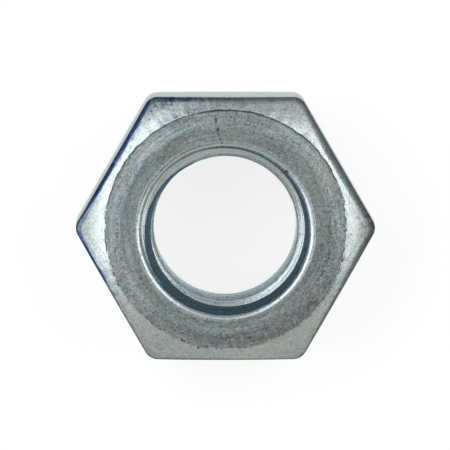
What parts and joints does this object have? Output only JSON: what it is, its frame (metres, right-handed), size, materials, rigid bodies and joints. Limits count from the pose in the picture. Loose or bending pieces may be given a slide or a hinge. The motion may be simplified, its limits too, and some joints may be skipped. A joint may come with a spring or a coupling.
{
  "type": "hex nut",
  "caption": "Plain hexagon nut with a coarse right-hand thread right through it, chamfered corners and a countersink at each end of the hole.",
  "frame": {"origin": "centre of the lower bearing face, on the thread axis", "axes": "+Z along the thread axis, +X through a corner of the hexagon, +Y square to a pair of flats"},
  "size_m": [0.0216, 0.019, 0.01],
  "materials": {
    "plated_steel": "zinc-plated steel with a pale blue passivate, satin, faintly mottled"
  },
  "bodies": {
    "root": {"hex_nut": "plated_steel"}
  },
  "joints": []
}
